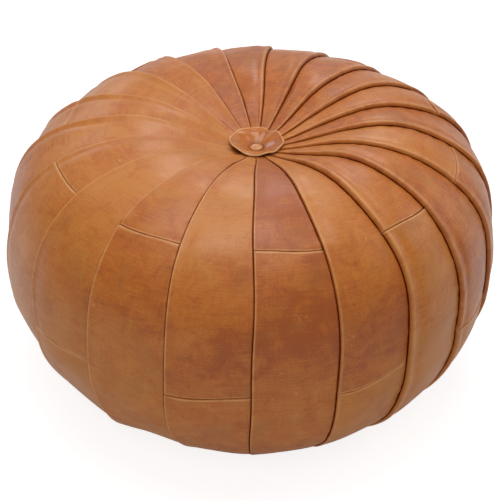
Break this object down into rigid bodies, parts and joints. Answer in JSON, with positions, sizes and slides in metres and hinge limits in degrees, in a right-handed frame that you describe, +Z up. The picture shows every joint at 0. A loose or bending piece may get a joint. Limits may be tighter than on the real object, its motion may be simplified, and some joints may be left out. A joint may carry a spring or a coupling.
{
  "type": "leather pouf",
  "caption": "Round stuffed leather pouf of lapped, cross-seamed panels, drawn in at the top by a buttoned medallion, with a zip in its base.",
  "frame": {"origin": "on the floor, under the middle of the pouf", "axes": "+Z up, -Y towards the picture's camera, +X to its right; the zip runs along X"},
  "size_m": [0.5297, 0.5288, 0.3035],
  "materials": {
    "panel_leather": "waxed pull-up, satin",
    "medallion_leather": "waxed pull-up, satin",
    "button_leather": "waxed pull-up, satin",
    "base_leather": "matt",
    "cotton_cord": "twisted",
    "anchor_wood": "sanded",
    "liner_calico": "plain weave",
    "cotton_wadding": "loose fibre",
    "zip_tape": "twill",
    "zip_brass": "antique, satin"
  },
  "bodies": {
    "pouf": {"panel_01_upper": "panel_leather", "panel_02_upper": "panel_leather", "panel_03_upper": "panel_leather", "panel_04_upper": "panel_leather", "panel_05_upper": "panel_leather", "panel_06_upper": "panel_leather", "panel_07_upper": "panel_leather", "panel_08_upper": "panel_leather", "panel_09_upper": "panel_leather", "panel_10_upper": "panel_leather", "panel_11_upper": "panel_leather", "panel_12_upper": "panel_leather", "panel_13_upper": "panel_leather", "panel_14_upper": "panel_leather", "panel_15_upper": "panel_leather", "panel_16_upper": "panel_leather", "panel_17_upper": "panel_leather", "panel_18_upper": "panel_leather", "panel_19_upper": "panel_leather", "panel_20_upper": "panel_leather", "panel_01_lower": "panel_leather", "panel_02_lower": "panel_leather", "panel_03_lower": "panel_leather", "panel_04_lower": "panel_leather", "panel_05_lower": "panel_leather", "panel_06_lower": "panel_leather", "panel_07_lower": "panel_leather", "panel_08_lower": "panel_leather", "panel_09_lower": "panel_leather", "panel_10_lower": "panel_leather", "panel_11_lower": "panel_leather", "panel_12_lower": "panel_leather", "panel_13_lower": "panel_leather", "panel_14_lower": "panel_leather", "panel_15_lower": "panel_leather", "panel_16_lower": "panel_leather", "panel_17_lower": "panel_leather", "panel_18_lower": "panel_leather", "panel_19_lower": "panel_leather", "panel_20_lower": "panel_leather", "medallion": "medallion_leather", "button_cap": "button_leather", "button_back": "zip_brass", "tuft_cord": "cotton_cord", "anchor_disc": "anchor_wood", "inner_liner": "liner_calico", "filling": "cotton_wadding", "base_half_front": "base_leather", "base_half_back": "base_leather", "zip_tape_front": "zip_tape", "zip_tape_back": "zip_tape", "zip_chain_front": "zip_brass", "zip_chain_back": "zip_brass", "zip_top_stops": "zip_brass", "zip_bottom_stop": "zip_brass"},
    "slider": {"zip_slider": "zip_brass"},
    "pull": {"zip_pull": "zip_brass"}
  },
  "joints": [
    {"name": "zip_slide", "type": "slide", "parent": "pouf", "child": "slider", "axis": [1, 0, 0], "range_m": [-0.18, 0], "deforming": ["zip_chain_front", "zip_chain_back"]},
    {"name": "pull_hinge", "type": "hinge", "parent": "slider", "child": "pull", "pos_m": [0.0919, 0, 0.0066], "axis": [0, -1, 0], "range_deg": [0, 175]}
  ]
}
